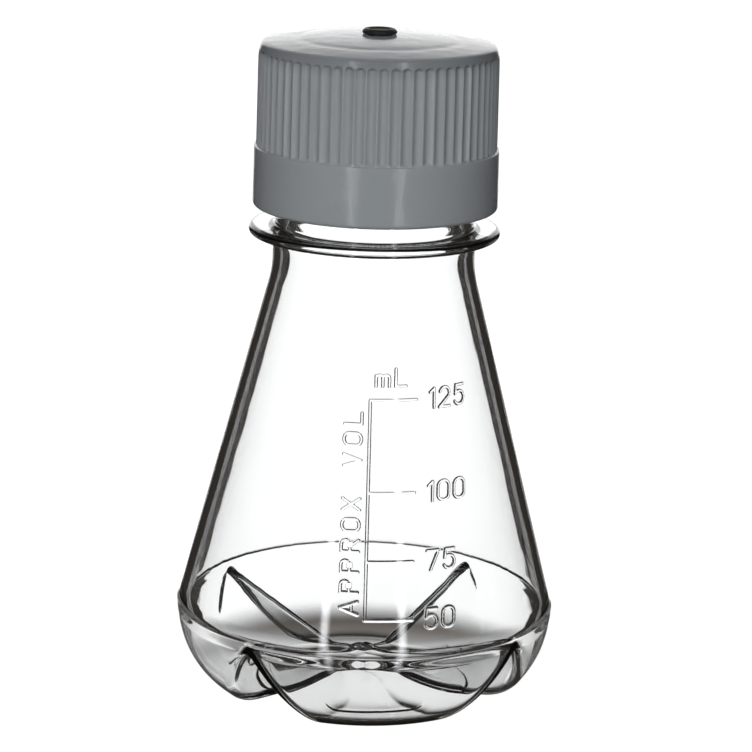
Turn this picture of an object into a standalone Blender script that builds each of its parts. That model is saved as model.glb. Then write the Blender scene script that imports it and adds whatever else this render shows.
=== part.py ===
"""Baffled 125 mL shake flask (Erlenmeyer form) with a vented screw cap.

Metres, +Z up. The origin is the centre of the circle the four feet stand on, and +Z is the flask's axis.
One foot points to -Y, which is the side that carries the volume scale. Four baffles lie between the feet.
"""

import math

import bmesh
import bpy
from mathutils import Matrix

MM = 0.001

# Flask, driving dimensions
HEEL_RADIUS = 33.75 * MM  # widest circle, where the cone meets the base
HEEL_HEIGHT = 16.1 * MM
CONE_TAPER = 0.2594  # radius lost for each unit of height
NECK_RADIUS = 17.9 * MM  # below the flange
FINISH_RADIUS = 17.5 * MM  # neck above the flange, at the root of the thread
LIP_HEIGHT = 113.65 * MM
WALL = 1.4 * MM
FLOOR_WALL = 1.15 * MM
NECK_WALL = 1.9 * MM
SHOULDER_BEND = 2.4 * MM  # half the height of the bend between the cone and the neck
FLANGE_RADIUS = 22.15 * MM
FLANGE_TOP = 85.0 * MM
FLANGE_THICKNESS = 1.7 * MM
FOOT_RADIUS = 21.5 * MM  # outer edge of the flat feet
FOOT_INNER_RADIUS = 17.5 * MM
CENTRE_RISE = 4.2 * MM  # how far the middle of the base stands above the feet

# Baffles: four folds that rise from the middle of the base to the heel
BAFFLES = 4
BAFFLE_FLANK = 1.6  # height lost for each unit of distance from the crest
BAFFLE_ROUND = 1.6 * MM  # rounding of the crest
BAFFLE_BLEND = 2.4 * MM  # rounding where a flank meets a foot, which runs out at the heel
BAFFLE_INNER_RADIUS = 7.0 * MM
BAFFLE_LOW = 4.4 * MM  # crest height at the inner radius, on the outside of the wall
BAFFLE_HIGH = 13.4 * MM  # crest height at the heel, on the outside of the wall
BAFFLE_WALL = 1.6 * MM  # height between the outer and the inner crest

# Thread: right-handed, six turns to the inch
LEAD = 25.4 * MM / 6
NECK_THREAD_RADIUS = 18.65 * MM
NECK_THREAD_TURNS = 2.0
NECK_THREAD_START = 102.4 * MM
NECK_THREAD_BASE = 2.3 * MM  # width of the ridge at its root
NECK_THREAD_CREST = 1.0 * MM  # width of the ridge at its crest
CAP_THREAD_RADIUS = 17.85 * MM
CAP_THREAD_TURNS = 1.75
CAP_THREAD_START = NECK_THREAD_START - LEAD / 2
CAP_THREAD_BASE = 2.0 * MM
CAP_THREAD_CREST = 0.8 * MM
THREAD_ROOTED = 0.4 * MM  # how deep a ridge is sunk into its wall
THREAD_FADE = math.radians(25)  # length over which a thread's ends run out
THREAD_END = 0.3  # share of the ridge's section that is left at its ends

# Raised volume scale
SCALE_ANGLE = math.radians(-97.8)
SCALE_MARKS = [22.5 * MM, 32.1 * MM, 43.5 * MM, 58.9 * MM]  # 50, 75, 100 and 125 mL
SCALE_RELIEF = 0.25 * MM
SCALE_WIDTH = 0.5 * MM
SCALE_ROOTED = 0.5 * MM  # how deep a bar is sunk into the cone
TICK_LENGTH = 8.1 * MM
TICK_STEPS = 4

# Cap
CAP_BOTTOM = 88.26 * MM
CAP_RIM = 117.0 * MM  # edge of the domed top
CAP_DOME = 1.6 * MM
CAP_TOP_RADIUS = 20.27 * MM
CAP_SHOULDER = 3.2 * MM  # height over which the grip rounds in to the top
GRIP_RADIUS = 20.95 * MM
GRIP_TOP = 115.75 * MM
BAND_TOP = 98.86 * MM
BAND_RADIUS = 21.45 * MM
CAP_BORE = 18.95 * MM
CAP_CEILING = 115.2 * MM
PLENUM_RADIUS = 13.6 * MM
PLENUM_CEILING = 116.4 * MM
CAP_CHAMFER = 0.4 * MM
CAP_LEAD_IN = 0.6 * MM  # widening of the bore at the cap's mouth
GROOVES = 66
GROOVE_DEPTH = 0.4 * MM
VENT_RADIUS = 2.1 * MM
PLUG_SEAT_RADIUS = 3.4 * MM

# Parts inside and on the cap
GAP = 0.25 * MM  # between pieces that rest on each other
LINER_THICKNESS = 1.0 * MM
LINER_OUTER_RADIUS = 18.6 * MM
LINER_INNER_RADIUS = 15.75 * MM
MEMBRANE_RADIUS = 15.0 * MM
MEMBRANE_THICKNESS = 0.3 * MM
RING_INNER_RADIUS = 12.8 * MM
RING_THICKNESS = 1.3 * MM
PLUG_HEAD_RADIUS = 3.03 * MM
PLUG_HEAD_HEIGHT = 0.8 * MM
PLUG_DISH_RADIUS = 2.1 * MM
PLUG_DISH_DEPTH = 0.3 * MM
PLUG_STEM_RADIUS = 1.95 * MM
PLUG_STEM_LENGTH = 3.0 * MM
PLUG_GAP = 0.2 * MM

STEPS = 72  # facets round the flask and the bores
CAP_STEPS = GROOVES * 2
SMALL_STEPS = 32
CLEAR = 5 * MM  # how far a cutter runs past the surface it cuts
MERGE = 0.001 * MM

COLOURS = {
    "flask_body": ((0.86, 0.90, 0.91, 1.0), 0.04),
    "cap_shell": ((0.20, 0.23, 0.24, 1.0), 0.38),
    "seal_liner": ((0.86, 0.86, 0.84, 1.0), 0.55),
    "vent_membrane": ((0.92, 0.92, 0.92, 1.0), 0.85),
    "membrane_ring": ((0.80, 0.82, 0.82, 1.0), 0.45),
    "vent_plug": ((0.02, 0.02, 0.018, 1.0), 0.6),
}


def clear_scene():
    for obj in list(bpy.data.objects):
        bpy.data.objects.remove(obj, do_unlink=True)


def new_collection(name):
    collection = bpy.data.collections.new(name)
    bpy.context.scene.collection.children.link(collection)
    return collection


def paint(obj):
    colour, roughness = COLOURS[obj.name]
    material = bpy.data.materials.new(obj.name)
    material.use_nodes = True
    surface = material.node_tree.nodes["Principled BSDF"]
    surface.inputs["Base Color"].default_value = colour
    surface.inputs["Roughness"].default_value = roughness
    surface.inputs["Metallic"].default_value = 0.0
    if obj.name == "flask_body":
        surface.inputs["Transmission Weight"].default_value = 1.0
        surface.inputs["IOR"].default_value = 1.57
    obj.data.materials.clear()
    obj.data.materials.append(material)


def arc(centre, radius_r, radius_z, start, end, count):
    """Points (r, z) on an elliptical arc, angles in degrees from +r towards +z."""
    angles = [math.radians(start + (end - start) * i / count) for i in range(count + 1)]
    return [(centre[0] + radius_r * math.cos(a), centre[1] + radius_z * math.sin(a)) for a in angles]


def turned(name, profile, steps):
    """A mesh turned about the Z axis from (r, z) points that run down the outer side."""
    mesh = bpy.data.meshes.new(name)
    edges = [(i, i + 1) for i in range(len(profile) - 1)]
    mesh.from_pydata([(r, 0.0, z) for r, z in profile], edges, [])
    obj = bpy.data.objects.new(name, mesh)
    bpy.context.scene.collection.objects.link(obj)
    screw = obj.modifiers.new("Screw", "SCREW")
    screw.axis = "Z"
    screw.steps = steps
    screw.render_steps = steps
    screw.use_merge_vertices = True
    screw.merge_threshold = MERGE
    return applied(obj)


def applied(obj):
    """Replaces an object's mesh by its evaluated mesh, and drops the modifiers."""
    graph = bpy.context.evaluated_depsgraph_get()
    mesh = bpy.data.meshes.new_from_object(obj.evaluated_get(graph))
    obj.modifiers.clear()
    obj.data = mesh
    return obj


def closed_turned(name, profile, steps):
    """A ring turned from a closed outline of (r, z) points, in the order that faces it outwards."""
    return turned(name, profile + profile[:1], steps)


def combine(obj, other, operation):
    modifier = obj.modifiers.new(other.name, "BOOLEAN")
    modifier.object = other
    modifier.operation = operation
    modifier.solver = "EXACT"


def helper(obj, collection):
    """Keeps a cutter or a shape that is joined to another out of the model itself."""
    for owner in list(obj.users_collection):
        owner.objects.unlink(obj)
    collection.objects.link(obj)
    obj.hide_render = True
    obj.display_type = "WIRE"
    return obj


def finish_part(obj, collection):
    for owner in list(obj.users_collection):
        owner.objects.unlink(obj)
    collection.objects.link(obj)
    obj.data.shade_smooth()
    obj.data.set_sharp_from_angle(angle=math.radians(30))
    paint(obj)
    return obj


def swept(name, sections):
    """A solid lofted through rings of points that all have the same count, capped at both ends."""
    bm = bmesh.new()
    rings = [[bm.verts.new(point) for point in section] for section in sections]
    count = len(rings[0])
    for before, after in zip(rings, rings[1:]):
        for i in range(count):
            j = (i + 1) % count
            bm.faces.new((before[i], before[j], after[j], after[i]))
    bm.faces.new(rings[0][::-1])
    bm.faces.new(rings[-1])
    bmesh.ops.recalc_face_normals(bm, faces=bm.faces)
    mesh = bpy.data.meshes.new(name)
    bm.to_mesh(mesh)
    bm.free()
    obj = bpy.data.objects.new(name, mesh)
    bpy.context.scene.collection.objects.link(obj)
    return obj


def round_axis(radius, angle, height):
    return (radius * math.cos(angle), radius * math.sin(angle), height)


def thread(name, root, crest, start_height, turns, base_width, crest_width):
    """A helical ridge between two radii, whose ends run out into the root."""
    total = turns * 2 * math.pi
    count = round(turns * STEPS)
    sections = []
    for i in range(count + 1):
        angle = total * i / count
        height = start_height + LEAD * angle / (2 * math.pi)
        full = min(1.0, angle / THREAD_FADE, (total - angle) / THREAD_FADE)
        share = THREAD_END + (1 - THREAD_END) * full
        tip = root + (crest - root) * share
        base = base_width * share / 2
        flat = crest_width * share / 2
        outline = [(root, -base), (root, base), (tip, flat), (tip, -flat)]
        sections.append([round_axis(r, angle, height + dz) for r, dz in outline])
    return swept(name, sections)


# Flask ------------------------------------------------------------------------------------------


def cone_radius(height):
    return HEEL_RADIUS - CONE_TAPER * (height - HEEL_HEIGHT)


def shoulder_outline(wall):
    """(r, z) of the bend from the neck down to the cone, wall inside the outer skin."""
    middle = HEEL_HEIGHT + (HEEL_RADIUS - NECK_RADIUS) / CONE_TAPER
    points = []
    for share in (0.0, 0.5, 1.0):
        widening = CONE_TAPER * SHOULDER_BEND * share * share
        points.append((NECK_RADIUS - wall + widening, middle + SHOULDER_BEND * (1 - 2 * share)))
    return points


def base_outline(wall, floor):
    """(r, z) from the heel to the middle of the base, between baffles, inside the outer skin by a wall."""
    points = arc((FOOT_RADIUS, HEEL_HEIGHT), HEEL_RADIUS - FOOT_RADIUS - wall, HEEL_HEIGHT - floor, 0, -90, 9)
    rings = 5
    for i in range(rings + 1):
        rise = CENTRE_RISE * (1 - math.cos(math.pi * i / rings)) / 2
        points.append((FOOT_INNER_RADIUS * (1 - i / rings), floor + rise))
    return points


def smooth_max(a, b, reach):
    """The larger of two heights, rounded where they are within reach of each other."""
    near = max(reach - abs(a - b), 0.0) / reach
    return max(a, b) + near * near * reach / 4


def baffle_height(x, y, inside):
    """Height of the nearest baffle's tent-shaped fold at a point of the base."""
    radius = math.hypot(x, y)
    turn = 2 * math.pi / BAFFLES
    from_crest = (math.atan2(y, x) % turn) - turn / 2
    off_crest = radius * math.sin(from_crest)
    along = max(radius * math.cos(from_crest), BAFFLE_INNER_RADIUS)
    edge = HEEL_RADIUS - (WALL if inside else 0.0)
    share = (along - BAFFLE_INNER_RADIUS) / (edge - BAFFLE_INNER_RADIUS)
    crest = BAFFLE_LOW + (BAFFLE_HIGH - BAFFLE_LOW) * share + (BAFFLE_WALL if inside else 0.0)
    return crest - BAFFLE_FLANK * (math.hypot(off_crest, BAFFLE_ROUND) - BAFFLE_ROUND)


def fold_base(obj, inside):
    """Raises the base of a turned flask mesh into its baffles."""
    for vertex in obj.data.vertices:
        x, y, z = vertex.co
        if z > HEEL_HEIGHT - MERGE:
            continue
        reach = min(BAFFLE_BLEND, 2 * (HEEL_HEIGHT - z))
        vertex.co.z = smooth_max(z, baffle_height(x, y, inside), reach)
    return obj


def flask_blank():
    """The flask's outer skin as a full solid, with its flange."""
    flange_low = FLANGE_TOP - FLANGE_THICKNESS
    edge = FLANGE_THICKNESS / 2
    rim = 0.8 * MM
    fillet = 1.0 * MM
    profile = [(0.0, LIP_HEIGHT)]
    profile += arc((FINISH_RADIUS - rim, LIP_HEIGHT - rim), rim, rim, 90, 0, 3)
    profile += [(FINISH_RADIUS, FLANGE_TOP + fillet), (FINISH_RADIUS + fillet, FLANGE_TOP)]
    profile += arc((FLANGE_RADIUS - edge, FLANGE_TOP - edge), edge, edge, 90, -90, 4)
    profile += [(NECK_RADIUS + fillet, flange_low), (NECK_RADIUS, flange_low - fillet)]
    profile += shoulder_outline(0.0)
    profile += base_outline(0.0, 0.0)
    return fold_base(turned("flask_body", profile, STEPS), inside=False)


def flask_cavity(helpers):
    """The space inside the flask, which also cuts its mouth open."""
    bore = FINISH_RADIUS - NECK_WALL
    above = LIP_HEIGHT + CLEAR
    rim = 0.5 * MM
    profile = [(0.0, above), (bore + rim, above), (bore + rim, LIP_HEIGHT), (bore, LIP_HEIGHT - rim)]
    profile += [(bore, FLANGE_TOP), (NECK_RADIUS - WALL, FLANGE_TOP - 2 * FLANGE_THICKNESS)]
    profile += shoulder_outline(WALL)
    profile += base_outline(WALL, FLOOR_WALL)
    cavity = fold_base(turned("flask_cavity", profile, STEPS), inside=True)
    return helper(cavity, helpers)


def scale_bar(name, helpers, start, end, low, high):
    """A low bar on the cone, between two angles and two heights."""
    sections = []
    for i in range(TICK_STEPS + 1):
        angle = start + (end - start) * i / TICK_STEPS
        corners = [(-SCALE_ROOTED, low), (-SCALE_ROOTED, high), (SCALE_RELIEF, high), (SCALE_RELIEF, low)]
        sections.append([round_axis(cone_radius(h) + out, angle, h) for out, h in corners])
    return helper(swept(name, sections), helpers)


def volume_scale(body, helpers):
    """An upright bar with one tick to its right for each volume."""
    half = SCALE_WIDTH / 2
    lean = half / cone_radius((SCALE_MARKS[0] + SCALE_MARKS[-1]) / 2)
    low, high = SCALE_MARKS[0] - half, SCALE_MARKS[-1] + half
    stem = scale_bar("scale_stem", helpers, SCALE_ANGLE - lean, SCALE_ANGLE + lean, low, high)
    combine(body, stem, "UNION")
    for number, height in enumerate(SCALE_MARKS):
        span = TICK_LENGTH / cone_radius(height)
        low, high = height - half, height + half
        tick = scale_bar(f"scale_tick_{number}", helpers, SCALE_ANGLE, SCALE_ANGLE + span, low, high)
        combine(body, tick, "UNION")


def flask_body(parts, helpers):
    body = flask_blank()
    ridge = thread("neck_thread", FINISH_RADIUS - THREAD_ROOTED, NECK_THREAD_RADIUS, NECK_THREAD_START,
                   NECK_THREAD_TURNS, NECK_THREAD_BASE, NECK_THREAD_CREST)
    combine(body, helper(ridge, helpers), "UNION")
    volume_scale(body, helpers)
    combine(body, flask_cavity(helpers), "DIFFERENCE")
    return finish_part(body, parts)


# Cap --------------------------------------------------------------------------------------------


def dome_height(radius):
    """Top of the cap: a shallow dome with a flat seat for the plug."""
    share = max(radius, PLUG_SEAT_RADIUS) / CAP_TOP_RADIUS
    return CAP_RIM + CAP_DOME * (1 - share * share)


def cap_grooves(helpers):
    """V grooves between the grip ribs: one square bar on edge for each."""
    length = GRIP_TOP - BAND_TOP
    side = 2 * math.sqrt(2) * GROOVE_DEPTH
    bm = bmesh.new()
    for i in range(GROOVES):
        angle = 2 * math.pi * (i + 0.5) / GROOVES
        place = Matrix.Rotation(angle, 4, "Z") @ Matrix.Translation(
            (GRIP_RADIUS + GROOVE_DEPTH, 0.0, BAND_TOP + length / 2)
        )
        shape = Matrix.Rotation(math.radians(45), 4, "Z") @ Matrix.Diagonal((side, side, length, 1.0))
        bmesh.ops.create_cube(bm, size=1.0, matrix=place @ shape)
    mesh = bpy.data.meshes.new("cap_grooves")
    bm.to_mesh(mesh)
    bm.free()
    obj = bpy.data.objects.new("cap_grooves", mesh)
    bpy.context.scene.collection.objects.link(obj)
    return helper(obj, helpers)


def cap_shell(parts, helpers):
    """The grooved cup with its bore, its plenum, its vent hole and its thread."""
    dome_radii = [0.0, PLUG_SEAT_RADIUS, 0.4 * CAP_TOP_RADIUS, 0.7 * CAP_TOP_RADIUS]
    profile = [(r, dome_height(r)) for r in dome_radii]
    profile += arc(
        (CAP_TOP_RADIUS, CAP_RIM - CAP_SHOULDER), GRIP_RADIUS - CAP_TOP_RADIUS, CAP_SHOULDER, 90, 0, 4
    )
    profile += [(GRIP_RADIUS, BAND_TOP), (BAND_RADIUS, BAND_TOP - CAP_CHAMFER / 2)]
    profile += [(BAND_RADIUS, CAP_BOTTOM + CAP_CHAMFER), (BAND_RADIUS - CAP_CHAMFER, CAP_BOTTOM)]
    profile += [(0.0, CAP_BOTTOM)]
    shell = turned("cap_shell", profile, CAP_STEPS)
    combine(shell, cap_grooves(helpers), "DIFFERENCE")

    below = CAP_BOTTOM - CLEAR
    mouth = CAP_BORE + CAP_LEAD_IN
    cavity = [(0.0, PLENUM_CEILING), (PLENUM_RADIUS, PLENUM_CEILING), (PLENUM_RADIUS, CAP_CEILING)]
    cavity += [(CAP_BORE, CAP_CEILING), (CAP_BORE, CAP_BOTTOM + CAP_LEAD_IN)]
    cavity += [(mouth, CAP_BOTTOM), (mouth, below), (0.0, below)]
    combine(shell, helper(turned("cap_cavity", cavity, STEPS), helpers), "DIFFERENCE")

    above, under = CAP_RIM + CLEAR, PLENUM_CEILING - CLEAR
    vent = [(0.0, above), (VENT_RADIUS, above), (VENT_RADIUS, under), (0.0, under)]
    combine(shell, helper(turned("vent_hole", vent, SMALL_STEPS), helpers), "DIFFERENCE")

    ridge = thread("cap_thread", CAP_BORE + THREAD_ROOTED, CAP_THREAD_RADIUS, CAP_THREAD_START,
                   CAP_THREAD_TURNS, CAP_THREAD_BASE, CAP_THREAD_CREST)
    combine(shell, helper(ridge, helpers), "UNION")
    return finish_part(shell, parts)


def washer(name, parts, inner, outer, low, high):
    corners = [(inner, high), (outer, high), (outer, low), (inner, low)]
    return finish_part(closed_turned(name, corners, STEPS), parts)


def seal_liner(parts):
    top = CAP_CEILING - GAP
    return washer("seal_liner", parts, LINER_INNER_RADIUS, LINER_OUTER_RADIUS, top - LINER_THICKNESS, top)


def vent_membrane(parts):
    top = CAP_CEILING - GAP
    profile = [(0.0, top), (MEMBRANE_RADIUS, top)]
    profile += [(MEMBRANE_RADIUS, top - MEMBRANE_THICKNESS), (0.0, top - MEMBRANE_THICKNESS)]
    return finish_part(turned("vent_membrane", profile, STEPS), parts)


def membrane_ring(parts):
    top = CAP_CEILING - 2 * GAP - MEMBRANE_THICKNESS
    return washer("membrane_ring", parts, RING_INNER_RADIUS, MEMBRANE_RADIUS, top - RING_THICKNESS, top)


def vent_plug(parts):
    """Rubber plug: a round-edged head with a dished top, on a straight stem."""
    seat = dome_height(0.0) + PLUG_GAP
    top = seat + PLUG_HEAD_HEIGHT
    edge = PLUG_HEAD_HEIGHT / 2
    floor = top - PLUG_DISH_DEPTH
    tip = 0.4 * MM
    stem_end = seat - PLUG_STEM_LENGTH
    profile = [(0.0, floor), (PLUG_DISH_RADIUS - 2 * PLUG_DISH_DEPTH, floor), (PLUG_DISH_RADIUS, top)]
    profile += arc((PLUG_HEAD_RADIUS - edge, top - edge), edge, edge, 90, -90, 6)
    profile += [(PLUG_STEM_RADIUS, seat)]
    profile += [(PLUG_STEM_RADIUS, stem_end + tip), (PLUG_STEM_RADIUS - tip, stem_end), (0.0, stem_end)]
    return finish_part(turned("vent_plug", profile, SMALL_STEPS), parts)


def main():
    clear_scene()
    parts = new_collection("shake_flask")
    helpers = new_collection("cutters")
    flask_body(parts, helpers)
    cap_shell(parts, helpers)
    seal_liner(parts)
    vent_membrane(parts)
    membrane_ring(parts)
    vent_plug(parts)


main()
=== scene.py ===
"""Looks for the baffled shake flask: a clear moulded body with a raised scale, and a ribbed grey cap."""

import math

import bpy
import numpy as np
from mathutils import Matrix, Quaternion, Vector


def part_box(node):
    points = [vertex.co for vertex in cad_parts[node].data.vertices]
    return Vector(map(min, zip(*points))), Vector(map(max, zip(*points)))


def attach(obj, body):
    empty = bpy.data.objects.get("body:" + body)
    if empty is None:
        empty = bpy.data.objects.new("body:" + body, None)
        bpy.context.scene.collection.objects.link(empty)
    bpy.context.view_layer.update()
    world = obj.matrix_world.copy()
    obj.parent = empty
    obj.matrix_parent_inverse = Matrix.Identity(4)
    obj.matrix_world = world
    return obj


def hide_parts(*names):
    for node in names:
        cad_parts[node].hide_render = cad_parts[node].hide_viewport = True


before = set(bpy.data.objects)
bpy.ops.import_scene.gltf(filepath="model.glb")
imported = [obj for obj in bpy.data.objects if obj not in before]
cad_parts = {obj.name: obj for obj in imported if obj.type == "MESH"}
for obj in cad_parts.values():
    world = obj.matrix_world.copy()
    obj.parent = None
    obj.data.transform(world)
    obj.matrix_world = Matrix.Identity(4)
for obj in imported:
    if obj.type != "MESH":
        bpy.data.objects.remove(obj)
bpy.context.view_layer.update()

MM = 0.001
TURN = 2 * math.pi

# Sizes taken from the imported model
CAP_LOW, CAP_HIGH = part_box("cap_shell")
LINER_LOW, LINER_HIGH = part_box("seal_liner")
MEMBRANE_LOW, MEMBRANE_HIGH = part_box("vent_membrane")
RING_LOW, RING_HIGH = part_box("membrane_ring")
PLUG_LOW, PLUG_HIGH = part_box("vent_plug")

# Flask, in metres
HEEL_RADIUS = 33.73 * MM  # at the ring under the heel
RING_HEIGHT = 14.0 * MM
HEEL_HEIGHT = 16.1 * MM
INNER_HEEL_HEIGHT = 15.9 * MM
HEEL_BEAD = 0.14 * MM  # how far the rounded bead round the heel stands out
HEEL_BEAD_SLOPE = 0.22 * MM  # height of the slope from the cone out to the bead
LIP_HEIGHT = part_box("flask_body")[1].z
CONE_TAPER = 0.2594  # radius lost for each unit of height
NECK_RADIUS = 17.9 * MM
FINISH_RADIUS = 17.5 * MM
WALL = 1.4 * MM
NECK_WALL = 1.9 * MM
FLANGE_RADIUS = 22.15 * MM
FLANGE_TOP = 85.0 * MM
FLANGE_THICKNESS = 1.7 * MM
FOOT_RADIUS = 21.5 * MM
FOOT_INNER_RADIUS = 17.5 * MM
CENTRE_RISE = 4.2 * MM
FLOOR_WALL = 1.15 * MM
BASE_THINNING = 0.45 * MM  # the wall is stretched thin where it turns from the side to the feet
FLOOR_STEP_RADIUS = 19.5 * MM
FLOOR_STEP = 0.3 * MM
SHOULDER_BEND = 2.4 * MM  # half the height of the bend between cone and neck

BAFFLES = 4
BAFFLE_FLANK = 1.6
BAFFLE_ROUND_OUTSIDE = 0.7 * MM
BAFFLE_ROUND_INSIDE = 1.3 * MM
BAFFLE_BLEND_OUTSIDE = 2.8 * MM
BAFFLE_BLEND_INSIDE = 2.4 * MM
BAFFLE_INNER_RADIUS = 7.0 * MM
BAFFLE_LOW = 5.9 * MM
BAFFLE_HIGH = 15.1 * MM
BAFFLE_WALL = 0.7 * MM
GROOVE_HIGH = 13.9 * MM  # the outer groove stays below the ring
GROOVE_BLEND = 1.2 * MM
SHARPEST_BLEND = 0.4 * MM
GATE_DISC = (0.9 * MM, 1.5 * MM, 2.5 * MM)  # height, radius where its edge starts, radius where it ends
GATE_DIMPLE = (0.7 * MM, 0.2 * MM, 1.3 * MM)
SWAY = 0.025 * MM  # how far the inside of the base is from even

LEAD = 25.4 * MM / 6
NECK_THREAD_START = 102.4 * MM
NECK_THREAD_TURNS = 2.0
NECK_THREAD_HEIGHT = 1.15 * MM
NECK_THREAD_HALF = (1.15 * MM, 0.45 * MM)  # half widths of the ridge at its foot and at its crest
CAP_THREAD_START = NECK_THREAD_START - 0.5 * LEAD
CAP_THREAD_TURNS = 1.75
CAP_THREAD_HEIGHT = 1.1 * MM
CAP_THREAD_HALF = (1.0 * MM, 0.4 * MM)
THREAD_RUN_OUT = 0.08  # turns over which a thread starts and ends

# Raised scale: heights of the marks, and strokes measured round the cone from its upright line
SCALE_ANGLE = math.radians(-97.8)
SCALE_MARKS = [(50, 22.5 * MM), (75, 32.1 * MM), (100, 43.5 * MM), (125, 58.9 * MM)]
SCALE_RELIEF = 0.15 * MM
STROKE_FLAT = 0.12 * MM  # half the width of a stroke's flat top
STROKE_SKIRT = 0.32 * MM  # half its width at the wall
TICK_LENGTH = 8.1 * MM
FIGURE_OFFSET = 10.6 * MM
FIGURE_SIZE = (2.15 * MM, 3.2 * MM)
FIGURE_GAP = 1.05 * MM
UNIT_HEIGHT = 61.2 * MM
WORDS_OFFSET = -1.35 * MM
WORDS_START = 23.4 * MM
WORDS_SIZE = (1.9 * MM, 3.0 * MM)
WORDS_GAP = 1.5 * MM
WORDS_SPACE = 3.9 * MM
UNIT_SIGNS = [("m", (2.3 * MM, 2.3 * MM), 0.9 * MM), ("L", (1.9 * MM, 2.9 * MM), 4.3 * MM)]

# Cap, in metres
CAP_BOTTOM = CAP_LOW.z
CAP_RIM = 117.0 * MM
CAP_DOME = CAP_HIGH.z - CAP_RIM
CAP_TOP_RADIUS = 20.27 * MM
GRIP_RADIUS = 20.95 * MM
GRIP_TOP = 115.75 * MM
SHOULDER_HEIGHT = 3.2 * MM
BAND_TOP = 98.86 * MM
BAND_RADIUS = 21.45 * MM
CAP_BORE = 18.95 * MM
CAP_CEILING = 115.2 * MM
PLENUM_RADIUS = 13.6 * MM
PLENUM_CEILING = 116.4 * MM
FLUTES = 66
FLUTE_DEPTH = 0.5 * MM
FLUTE_SHARE = 0.8  # how much of the pitch is hollow
VENT_RADIUS = 2.1 * MM
CREASE_RADIUS = 14.1 * MM
CREASE_DEPTH = 0.1 * MM
CREASE_WIDTH = 0.9 * MM
PAINTED_SHADE_FOOT = 113.0 * MM  # from here up to the rim the side is painted darker, a painted shade
# how much of the painted shade the side gets at the rim
PAINTED_SHADE_STRENGTH = 0.32
PLUG_SEAT_RADIUS = 3.4 * MM
LINER_BORE = 15.75 * MM
MEMBRANE_RING_BORE = 12.8 * MM


# Mesh building -----------------------------------------------------------------------------------


def smooth_step(low, high, value):
    share = np.clip((value - low) / (high - low), 0.0, 1.0)
    return share * share * (3 - 2 * share)


def smooth_max(a, b, reach):
    near = np.maximum(reach - np.abs(a - b), 0.0) / np.maximum(reach, 1e-9)
    return np.maximum(a, b) + near * near * reach / 4


def arc(centre_r, centre_z, radius_r, radius_z, start, end, count):
    """Points (r, z) on an elliptical arc, angles in degrees from +r towards +z."""
    angles = np.radians(np.linspace(start, end, count + 1))
    return [(centre_r + radius_r * math.cos(a), centre_z + radius_z * math.sin(a)) for a in angles]


def line(start, end, step):
    """Evenly spaced points after start up to end."""
    start, end = np.array(start), np.array(end)
    count = max(1, round(float(np.linalg.norm(end - start)) / step))
    return [tuple(start + (end - start) * i / count) for i in range(1, count + 1)]


def link_mesh(name, vertices, faces):
    mesh = bpy.data.meshes.new(name)
    mesh.from_pydata(np.asarray(vertices).tolist(), [], faces)
    mesh.update()
    mesh.shade_smooth()
    obj = bpy.data.objects.new(name, mesh)
    bpy.context.scene.collection.objects.link(obj)
    return obj


def turned_points(profile, columns):
    """Ring by ring points (r, z, angle) of a turned profile."""
    profile = np.array(profile)
    angles = np.linspace(0, TURN, columns, endpoint=False)
    radius = np.repeat(profile[:, :1], columns, axis=1)
    height = np.repeat(profile[:, 1:2], columns, axis=1)
    return radius, height, np.broadcast_to(angles, radius.shape)


def to_space(radius, height, angle):
    return np.stack([radius * np.cos(angle), radius * np.sin(angle), height], axis=-1)


def ring_faces(rows, columns, closed, skip=()):
    """Quads between neighbouring rings, for a profile that runs down the outer side."""
    faces = []
    for i in range(rows if closed else rows - 1):
        below = (i + 1) % rows
        for j in range(columns):
            if (i, j) in skip:
                continue
            right = (j + 1) % columns
            here, under = i * columns, below * columns
            faces.append((here + j, under + j, under + right, here + right))
    return faces


def pole_faces(first_row, pole, columns, at_start):
    """Triangles from a ring to a single point on the axis."""
    faces = []
    for j in range(columns):
        a, b = first_row + j, first_row + (j + 1) % columns
        faces.append((pole, a, b) if at_start else (pole, b, a))
    return faces


def turned_piece(name, profile, columns, closed=False):
    """A turned solid. An open profile starts and ends on the axis, and a closed one is a ring."""
    ends = not closed
    rings = profile[1:-1] if ends else profile
    vertices = to_space(*turned_points(rings, columns)).reshape(-1, 3)
    faces = ring_faces(len(rings), columns, closed)
    if ends:
        top, bottom = len(vertices), len(vertices) + 1
        vertices = np.vstack([vertices, [(0, 0, profile[0][1]), (0, 0, profile[-1][1])]])
        faces += pole_faces(0, top, columns, True)
        faces += pole_faces((len(rings) - 1) * columns, bottom, columns, False)
    return link_mesh(name, vertices, faces)


def thread_rise(angle, height, start, turns, rise, half):
    """How far a right-handed helical ridge stands out at each point."""
    foot, crest = half
    phase = (angle % TURN) / TURN
    total = np.zeros(np.broadcast(angle, height).shape)
    for turn in range(int(math.ceil(turns)) + 1):
        along = phase + turn
        centre = start + LEAD * along
        ends = smooth_step(0.0, THREAD_RUN_OUT, along)
        ends = ends * (1 - smooth_step(turns - THREAD_RUN_OUT, turns, along))
        side = 1 - smooth_step(crest, foot, np.abs(height - centre))
        total = np.maximum(total, rise * side * ends * (along <= turns))
    return total


# Raised figures ----------------------------------------------------------------------------------


def bow(centre_x, centre_y, radius_x, radius_y, start, end, count=14):
    angles = np.radians(np.linspace(start, end, count))
    return [(centre_x + radius_x * math.cos(a), centre_y + radius_y * math.sin(a)) for a in angles]


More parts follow.
